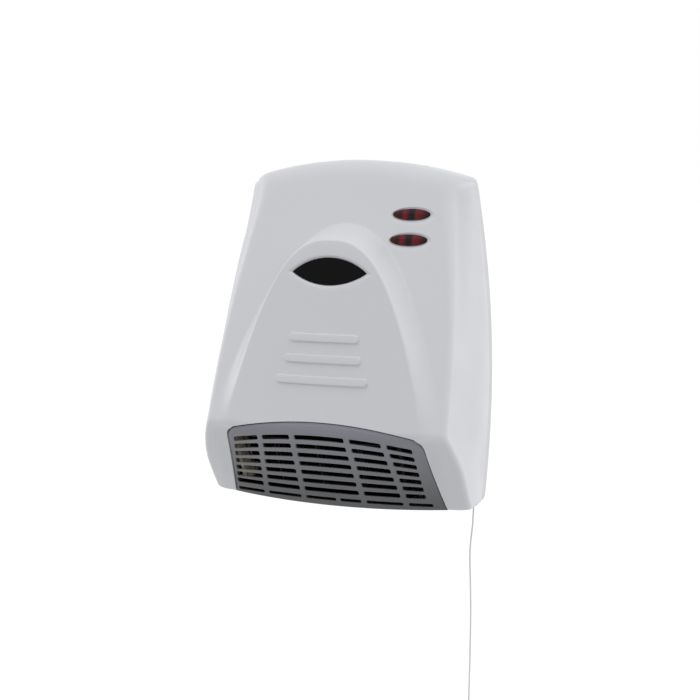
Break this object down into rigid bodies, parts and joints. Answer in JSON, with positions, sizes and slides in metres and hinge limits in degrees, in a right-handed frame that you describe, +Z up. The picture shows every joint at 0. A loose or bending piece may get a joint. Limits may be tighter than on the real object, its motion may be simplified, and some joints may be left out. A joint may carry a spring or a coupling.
{
  "type": "bathroom wall fan heater",
  "caption": "Bathroom wall fan heater with a bulging hood, a curved downward outlet grille, a dark window, red lamp lenses and a pull-cord switch.",
  "frame": {"origin": "on the wall plane, at the middle of the rectangle of wall fixing holes", "axes": "+X to the viewer's right, +Y into the wall, +Z up; the front looks along -Y"},
  "size_m": [0.2366, 0.1245, 0.56],
  "materials": {
    "cover_white": "satin moulded",
    "housing_white": "satin moulded",
    "grille_grey": "satin moulded",
    "window_black": "gloss",
    "lens_red": "clear gloss",
    "neon_glass": "clear",
    "board": "matt laminate",
    "galvanised_sheet": "galvanised",
    "bearing_bronze": "sintered",
    "grommet_rubber": "matt",
    "fan_drum": "mill finish",
    "steel": "ground",
    "laminations": "varnished stack",
    "copper": "enamelled copper",
    "die_cast": "die cast",
    "screw_steel": "zinc plated",
    "mica": "mica board",
    "resistance_wire": "oxidised",
    "ceramic": "glazed",
    "block_white": "moulded",
    "terminal_brass": "plain",
    "switch_cream": "moulded",
    "slider_blue": "moulded",
    "wheel_red": "moulded",
    "spring_steel": "spring wire",
    "cord_white": "braided",
    "tie_grey": "moulded",
    "bob_white": "gloss"
  },
  "bodies": {
    "heater_body": {"rear_housing": "housing_white", "front_cover": "cover_white", "outlet_grille": "grille_grey", "window_insert": "window_black", "upper_lens": "lens_red", "lower_lens": "lens_red", "upper_neon": "neon_glass", "lower_neon": "neon_glass", "lamp_carrier": "board", "intake_screen": "galvanised_sheet", "blower_scroll": "galvanised_sheet", "vortex_tongue": "galvanised_sheet", "left_end_plate": "galvanised_sheet", "right_end_plate": "galvanised_sheet", "bearing_bush": "bearing_bronze", "bearing_grommet": "grommet_rubber", "motor_stator": "laminations", "motor_coil": "copper", "shading_rings": "copper", "motor_bracket_inner": "die_cast", "motor_bracket_outer": "die_cast", "motor_bearings": "bearing_bronze", "motor_screws": "screw_steel", "element_frame": "mica", "heating_wire_low": "resistance_wire", "heating_wire_high": "resistance_wire", "thermal_cutout": "ceramic", "thermal_fuse": "screw_steel", "terminal_block": "block_white", "terminal_screws": "terminal_brass", "cable_clamp": "block_white", "cable_grommet": "grommet_rubber", "cover_screws": "screw_steel", "blower_screws": "screw_steel", "switch_case": "switch_cream", "switch_lid": "switch_cream", "contact_springs": "terminal_brass", "wheel_axle": "steel", "return_spring": "spring_steel", "cord_bush": "block_white"},
    "blower_rotor": {"impeller": "fan_drum", "rotor_shaft": "steel", "motor_rotor": "die_cast"},
    "pull": {"pull_slider": "slider_blue", "pull_cord": "cord_white", "cord_hank": "cord_white", "hank_tie": "tie_grey", "cord_bob": "bob_white"},
    "ratchet_wheel": {"switch_wheel": "wheel_red"}
  },
  "joints": [
    {"name": "blower_spin", "type": "hinge", "parent": "heater_body", "child": "blower_rotor", "pos_m": [0, -0.052, 0.008], "axis": [1, 0, 0], "continuous": true},
    {"name": "cord_pull", "type": "slide", "parent": "heater_body", "child": "pull", "axis": [0, 0, -1], "range_m": [0, 0.0108], "stiffness_N_per_m": 150, "springref_m": -0.01, "deforming": ["return_spring"]},
    {"name": "ratchet_turn", "type": "hinge", "parent": "heater_body", "child": "ratchet_wheel", "pos_m": [0.094, -0.013, -0.112], "axis": [0, 1, 0], "range_deg": [0, 90]}
  ],
  "couplings": [
    {"joint": "ratchet_turn", "follows": "cord_pull", "rad_per_m": 145.44}
  ]
}
